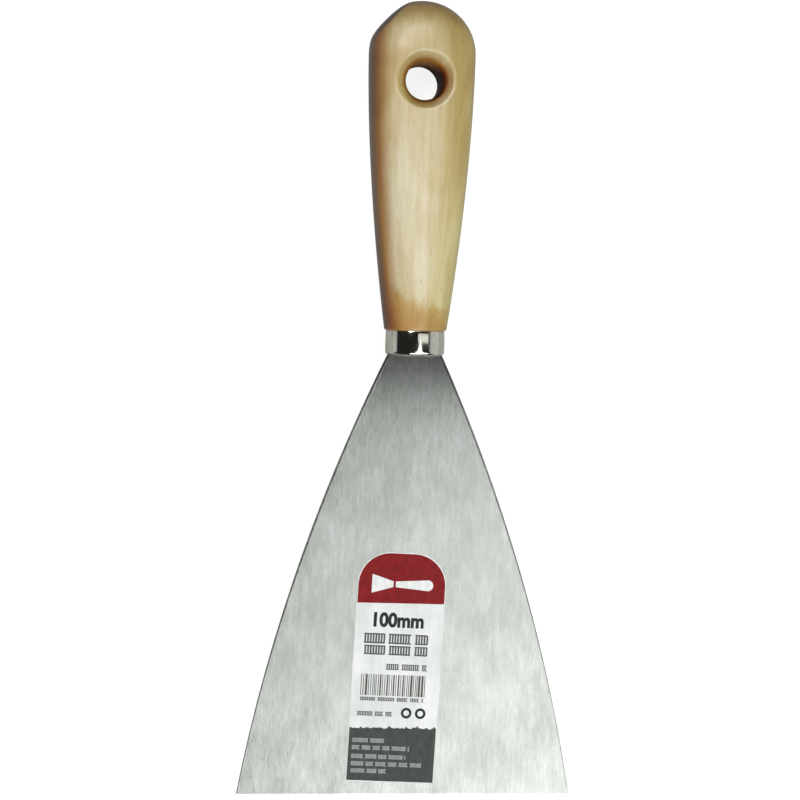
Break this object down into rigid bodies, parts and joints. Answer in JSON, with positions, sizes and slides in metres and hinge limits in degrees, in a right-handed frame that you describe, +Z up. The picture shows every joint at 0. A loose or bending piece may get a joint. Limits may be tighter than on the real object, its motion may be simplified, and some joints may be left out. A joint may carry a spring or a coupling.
{
  "type": "drywall taping knife",
  "caption": "Broad taping and putty knife: flared spring-steel blade, drawn steel ferrule and oval lacquered beech handle with a hanging hole, lying with its label side up.",
  "frame": {"origin": "on the surface the tool lies on, under the middle of its length and width", "axes": "+Y along the tool from the working edge towards the handle's end, +X across the blade, +Z up, on the labelled front side; the tool lies on the belly of its handle and its working edge, so its own axis rises 3.0 degrees from +Y"},
  "size_m": [0.1, 0.2344, 0.0223],
  "materials": {
    "spring_steel": "satin, ground lengthwise and lacquered",
    "nickel_plate": "bright nickel plate on drawn steel",
    "lacquered_beech": "clear gloss lacquer",
    "cured_adhesive": "matte",
    "label_film": "semi-gloss printed film"
  },
  "bodies": {
    "root": {"blade": "spring_steel", "ferrule": "nickel_plate", "handle": "lacquered_beech", "tang_adhesive": "cured_adhesive", "label": "label_film"}
  },
  "joints": []
}
